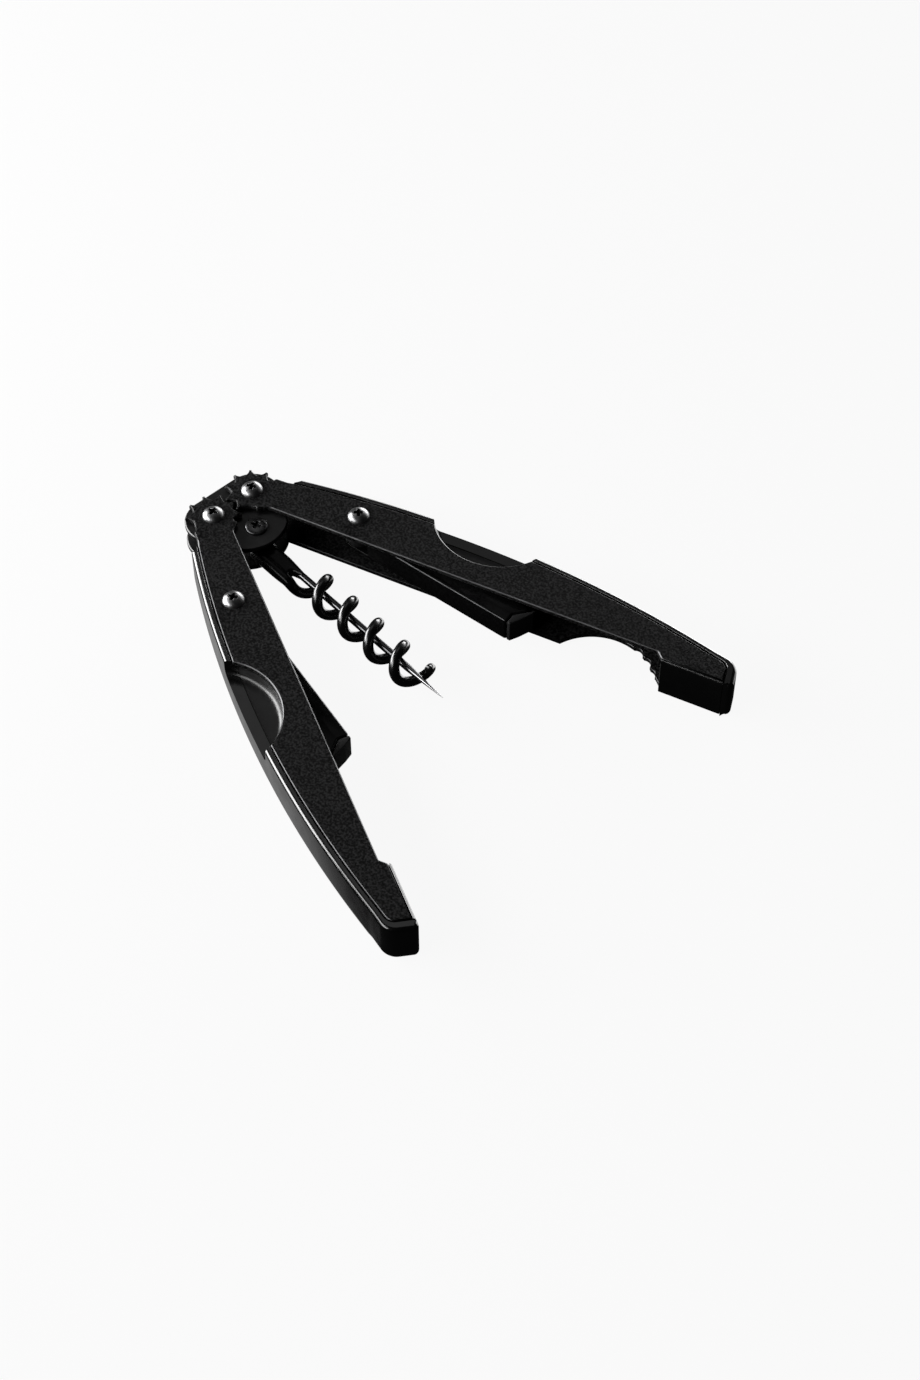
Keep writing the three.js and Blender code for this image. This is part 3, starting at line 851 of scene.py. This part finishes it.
def dome_screw(name, x, y, seat, rise, place, body, material, node, turn):
    """A domed screw head with a cross recess, on its shank; the recess faces are painted dark as shade."""
    shank_end, ease, dome_step = seat - 5, 0.1, 5
    quarter = arc(0, 0, 1, 0, 90, dome_step)[:-1]
    curve = [(HEAD_R * c, seat + HEAD_EDGE + (rise - HEAD_EDGE) * up) for c, up in quarter]
    profile = [
        (0, shank_end), (SHANK_R, shank_end), (SHANK_R, seat), (HEAD_R - ease, seat), (HEAD_R, seat + ease),
        *curve, (0, seat + rise),
    ]
    mesh = worked(turned(profile, dome_step), ("DIFFERENCE", cross_cutter(seat + rise)), ("BEVEL", 0.05))
    creased(mesh, 32)
    mesh.transform(Matrix.Translation((x, y, 0)) @ Matrix.Rotation(math.radians(turn), 4, "Z"))

    def sunk(polygon):
        """A face of the recess: under the dome's surface and within its reach."""
        widest, depth = 0.75, 0.08
        r = math.hypot(polygon.center.x - x, polygon.center.y - y) / HEAD_R
        surface = seat + HEAD_EDGE + (rise - HEAD_EDGE) * math.sqrt(max(0.0, 1 - r * r))
        return r < widest and seat + ease < polygon.center.z < surface - depth

    # The cross recess's faces take the painted shade colour.
    put(name, mesh, place, body, material, [node], recess_painted_shade, sunk)


def sleeve_nut(name, x, y, back, shoulder, top, place, body, material, node, slot):
    """A low domed head at the back and a hollow sleeve."""
    gap = 0.1
    bore, bore_foot = SHANK_R + gap, shoulder + gap
    dome = [(1.6, back + 0.03), (NUT_R - 0.35, back + 0.14), (NUT_R - 0.1, back + 0.3), (NUT_R, back + 0.5)]
    profile = [
        (0, back), *dome, (NUT_R, shoulder), (SLEEVE_R, shoulder), (SLEEVE_R, top),
        (bore, top), (bore, bore_foot), (0, bore_foot),
    ]
    mesh = creased(turned(profile, 6), 40)
    mesh.transform(Matrix.Translation((x, y, 0)))
    put(name, mesh, place, body, material, [node])


# ---- the link and the worm -----------------------------------------------------------------------
def link_plate(place_name, low):
    outline = arc(0, PIVOT_Y, LINK_R, 50, 180, 5) + arc(0, -PIVOT_Y, LINK_R, 180, 310, 5)
    outline += arc(FAN_X, 0, FAN_R, -FAN_HALF, FAN_HALF, 3)
    high = low + LINK_PLATE
    holes = [(x, y, [(HOLE_R, low), (HOLE_R, high)]) for x, y in ((0, PIVOT_Y), (0, -PIVOT_Y), (HUB_X, 0))]
    under, over = 0.18, 0.24
    mesh = prism(less(outline), chamfered_steps(low, high, under, over), holes)
    put(f"link_plate_{place_name}_fine", mesh, LINK, "link", satin_black,
        [f"link_plate_{place_name}"], worn_edge)


def worm_line():
    """The wire's centre line: straight beside the needle, then a right-handed coil round it."""
    count = 420
    ramp_half = 2.5
    centres = []
    for i in range(count + 1):
        x = WORM_ROOT + (COIL_END - WORM_ROOT) * i / count
        run = x - COIL_START
        if run < -ramp_half:
            wound = 0.0
        elif run > ramp_half:
            wound = run
        else:
            wound = (run + ramp_half) ** 2 / (4 * ramp_half)
        a = math.pi + 2 * math.pi * wound / WORM_PITCH
        centres.append(Vector((x, WORM_R * math.cos(a), MIDDLE + WORM_R * math.sin(a))))
    return centres


def worm_wire():
    centres = worm_line()
    count = len(centres)
    radii = []
    fuller, taper, taper_share = 1.06, 0.22, 0.09
    for i in range(count):
        left = (count - 1 - i) / count
        radii.append(WIRE_R * fuller * (1 - taper * max(0.0, 1 - left / taper_share)))
    ease = 0.12
    centres = [*centres, centres[-1] + (centres[-1] - centres[-2]).normalized() * ease]
    radii.append(radii[-1] - ease)
    mesh = tube(centres, radii, 20)
    put("worm_wire_fine", creased(mesh, 50), LINK, "link", black_worm, ["worm_wire"])


def worm_needle():
    point_start, steps = 62.5, 10
    blunt, blunt_length = 0.03, 0.15
    profile = [(0, WORM_ROOT), (NEEDLE_R, WORM_ROOT), (NEEDLE_R, point_start)]
    for i in range(1, steps + 1):
        t = i / steps
        r = NEEDLE_R * (1 - t) ** 0.85 * (1 - 0.1 * t) + blunt
        profile.append((r, point_start + (NEEDLE_TIP - blunt_length - point_start) * t))
    profile.append((0, NEEDLE_TIP))
    mesh = creased(turned(profile, 12), 60)
    mesh.transform(Matrix.Translation((0, 0, MIDDLE)) @ Matrix.Rotation(math.pi / 2, 4, "Y"))
    put("worm_needle_fine", mesh, LINK, "link", needle_steel, ["worm_needle"])


def worm_hub():
    """A barrel between the link plates, and a forged neck that parts into a needle lobe and a wire lobe."""
    low = link_back_low + LINK_PLATE + SLIP
    high = THICK - low
    barrel_r, barrel_round = 4.4, 0.15
    barrel_steps = rounded_steps(low, high, barrel_round, barrel_round)
    barrel_bore = (HUB_X, 0, [(HOLE_R, low), (HOLE_R, high)])
    barrel = prism([as_loop(circle(HUB_X, 0, barrel_r))], barrel_steps, [barrel_bore])
    lobe_r, neck_half, neck_round = 1.62, 1.4, 0.9
    neck_start, wire_edge, crotch = HUB_X + 3, -WORM_R - neck_half, (22.4, -WORM_R / 2 + 0.2, 0.5)
    web = rounded([
        (neck_start, wire_edge, 0), (21.0, wire_edge, 0), (25.4, -WORM_R + 0.1, 0), crotch,
        (26.0, -0.4, 0), (26.0, 0.6, 0), (20.0, 1.2, 0), (neck_start, 1.3, 0),
    ])
    neck_steps = rounded_steps(MIDDLE - neck_half, MIDDLE + neck_half, neck_round, neck_round)
    neck = prism([as_loop(web)], neck_steps)
    start, wire_end, needle_end = HUB_X + 3.2, 28.6, 24.6
    wire = [Vector((start + i, -WORM_R, MIDDLE)) for i in range(5)]
    wire += [c for c in worm_line() if c.x < wire_end]

    def swell(x, thin, begin, until):
        """A lobe's radius at x: full up to begin, and thin from until on."""
        t = min(1.0, max(0.0, (until - x) / (until - begin)))
        return thin + (lobe_r - thin) * t * t * (3 - 2 * t)

    steps, sides = 30, 24
    needle = [Vector((start + (needle_end - start) * i / steps, 0, MIDDLE)) for i in range(steps + 1)]
    needle_lobe = tube(needle, [swell(c.x, NEEDLE_R, 15.0, 22.0) * 0.96 for c in needle], sides)
    wire_lobe = tube(wire, [swell(c.x, WIRE_R * 1.03, 20.0, 28.2) for c in wire], sides)
    mesh = worked(neck, ("UNION", needle_lobe), ("UNION", wire_lobe), ("REMESH", 0.14), ("SMOOTH", 14))
    put("worm_hub_barrel", creased(barrel, 40), LINK, "link", satin_black, ["worm_hub"])
    put("worm_hub_neck", creased(mesh, 60), LINK, "link", black_leg, ["worm_hub"])


# ---- assembly ------------------------------------------------------------------------------------
def build_link():
    link_plate("front", link_front_high - LINK_PLATE)
    link_plate("back", link_back_low)
    worm_hub()
    worm_needle()
    worm_wire()
    seat = link_front_high + SLIP
    dome_screw("hub_screw_fine", HUB_X, 0, seat, HUB_DOME, LINK, "link", dark_steel, "hub_screw", 20)
    shoulder = link_back_low - SLIP
    sleeve_nut("hub_nut_fine", HUB_X, 0, shoulder - 0.55, shoulder, seat - SLIP, LINK, "link", satin_black,
               "hub_nut", "satin_black")
    for prefix, side, turn in (("upper", 1, 32), ("lower", -1, 12)):
        seat = THICK - SEAT_DEPTH + SLIP
        y = side * PIVOT_Y
        dome_screw(f"{prefix}_pivot_screw_fine", 0, y, seat, PIVOT_DOME, LINK, "link", steel,
                   f"{prefix}_pivot_screw", turn)
        sleeve_nut(f"{prefix}_pivot_nut_fine", 0, y, NUT_BACK, SEAT_DEPTH - SLIP, seat - SLIP, LINK,
                   "link", steel, f"{prefix}_pivot_nut", "polished_steel")


def build_arm(prefix, side, first_tooth, turn):
    front_plate(prefix, side, first_tooth)
    back_plate(prefix, side, first_tooth)
    spine_shell(prefix, side)
    thumb_recess(prefix, side)
    tip_pad(prefix, side)
    seat = THICK - SEAT_DEPTH + SLIP
    dome_screw(f"{prefix}_leg_screw_fine", *MID, seat, PIVOT_DOME, arm_place(side), f"{prefix}_arm", steel,
               f"{prefix}_leg_screw", turn)
    sleeve_nut(f"{prefix}_leg_nut_fine", *MID, NUT_BACK, SEAT_DEPTH - SLIP, seat - SLIP, arm_place(side),
               f"{prefix}_arm", steel, f"{prefix}_leg_nut", "polished_steel")
    leg_channel(prefix, side)
    leg_foot(prefix, side)


def finish_cad_nodes():
    """The small rings keep their CAD shape, with eased edges."""
    for prefix in ("upper", "lower"):
        for name in ("pivot_washer_front", "pivot_washer_back", "leg_bush"):
            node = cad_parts[f"{prefix}_{name}"]
            node.data.materials.clear()
            node.data.materials.append(nylon)
            node.modifiers.new("weld", "WELD").merge_threshold = 1e-6
            bevel = node.modifiers.new("bevel", "BEVEL")
            bevel.width = 0.05 * MM
            bevel.segments = 2
            bevel.angle_limit = math.radians(40)


# ---- camera, floor and lights --------------------------------------------------------------------
CAMERA_TARGET = Vector((78.95 - ORIGIN_X, 1.57, THICK + DROP)) * MM
CAMERA_AZIMUTH = math.radians(-42.52)
CAMERA_ELEVATION = math.radians(52.02)
CAMERA_DISTANCE = 0.58866
CAMERA_LENS = 101.74
DARK = 0.01


def aim(thing, target):
    thing.rotation_euler = (target - thing.location).to_track_quat("-Z", "Y").to_euler()


def make_camera():
    data = bpy.data.cameras.new("camera")
    data.sensor_fit = "HORIZONTAL"
    data.sensor_width = 36
    data.lens = CAMERA_LENS
    data.clip_start = 0.01
    data.clip_end = 50
    camera = bpy.data.objects.new("camera", data)
    out = Vector((
        math.cos(CAMERA_ELEVATION) * math.cos(CAMERA_AZIMUTH),
        math.cos(CAMERA_ELEVATION) * math.sin(CAMERA_AZIMUTH),
        math.sin(CAMERA_ELEVATION),
    ))
    camera.location = CAMERA_TARGET + out * CAMERA_DISTANCE
    aim(camera, CAMERA_TARGET)
    bpy.context.scene.collection.objects.link(camera)
    bpy.context.scene.camera = camera


def make_floor():
    """A closed pale drum, in metres, whose floor curves up into its wall. Only the camera sees it."""
    drum = 3
    cove = [(2.4, 0), (2.7, 0.08), (2.92, 0.3), (drum, 0.6)]
    mesh = turned([(0, 0), *cove, (drum, drum), (0, drum)])
    floor = bpy.data.objects.new("floor", mesh)
    floor.location.z = -SLIP * MM
    floor.visible_glossy = False
    floor.visible_diffuse = False
    floor.visible_shadow = False
    bpy.context.scene.collection.objects.link(floor)
    made = new_material("pale_floor", 0.9, specular=0.0)
    shader = made.node_tree.nodes["Principled BSDF"]
    shader.inputs["Base Color"].default_value = (0.04, 0.04, 0.04, 1)
    shader.inputs["Emission Color"].default_value = (1, 1, 1, 1)
    shader.inputs["Emission Strength"].default_value = 0.925
    mesh.materials.append(made)


GLOWS = (
    # direction, cosine where the glow starts, cosine where it is full, level
    ((-0.60, 0.10, -0.79), 0.955, 0.995, 0.42),
    ((-0.42, 0.20, 0.85), 0.93, 0.99, 0.3),
    ((-0.25, 0.94, -0.15), 0.80, 0.93, 3.5),
)


def make_world():
    """A dark room with soft glows: low on the left, overhead and at the back."""
    world = bpy.data.worlds.new("studio")
    world.use_nodes = True
    bpy.context.scene.world = world
    nodes, links = world.node_tree.nodes, world.node_tree.links
    place = nodes.new("ShaderNodeTexCoord")
    level = None
    for direction, start, full, strength in GLOWS:
        towards = nodes.new("ShaderNodeVectorMath")
        towards.operation = "DOT_PRODUCT"
        towards.inputs[1].default_value = Vector(direction).normalized()
        links.new(place.outputs["Generated"], towards.inputs[0])
        glow = nodes.new("ShaderNodeMapRange")
        glow.interpolation_type = "SMOOTHSTEP"
        glow.inputs["From Min"].default_value = start
        glow.inputs["From Max"].default_value = full
        glow.inputs["To Max"].default_value = strength
        links.new(towards.outputs["Value"], glow.inputs["Value"])
        total = nodes.new("ShaderNodeMath")
        total.inputs[1].default_value = DARK
        links.new(glow.outputs["Result"], total.inputs[0])
        if level:
            links.new(level, total.inputs[1])
        level = total.outputs["Value"]
    links.new(level, nodes["Background"].inputs["Color"])


def softbox(name, direction, distance, width, height, power):
    data = bpy.data.lights.new(name, "AREA")
    data.shape = "RECTANGLE"
    data.size = width
    data.size_y = height
    data.energy = power
    light = bpy.data.objects.new(name, data)
    centre = Vector((0.0, 0.0, 0.005))
    light.location = centre + Vector(direction).normalized() * distance
    aim(light, centre)
    bpy.context.scene.collection.objects.link(light)


build_link()
build_arm("upper", 1, CONTACT_ANGLE - 4.5 * TOOTH_PITCH, 25)
build_arm("lower", -1, CONTACT_ANGLE - 4 * TOOTH_PITCH, 40)
finish_cad_nodes()
make_camera()
make_floor()
make_world()
softbox("left_strip", (-0.85, -0.50, 0.24), 0.4, 0.36, 0.245, 3.7)
softbox("back_strip", (-0.45, 0.88, 0.13), 0.9, 0.5, 0.14, 3)
softbox("front_fill", (-0.25, -0.82, 0.50), 0.9, 0.7, 0.35, 4.5)
bpy.context.scene.view_settings.view_transform = "Standard"
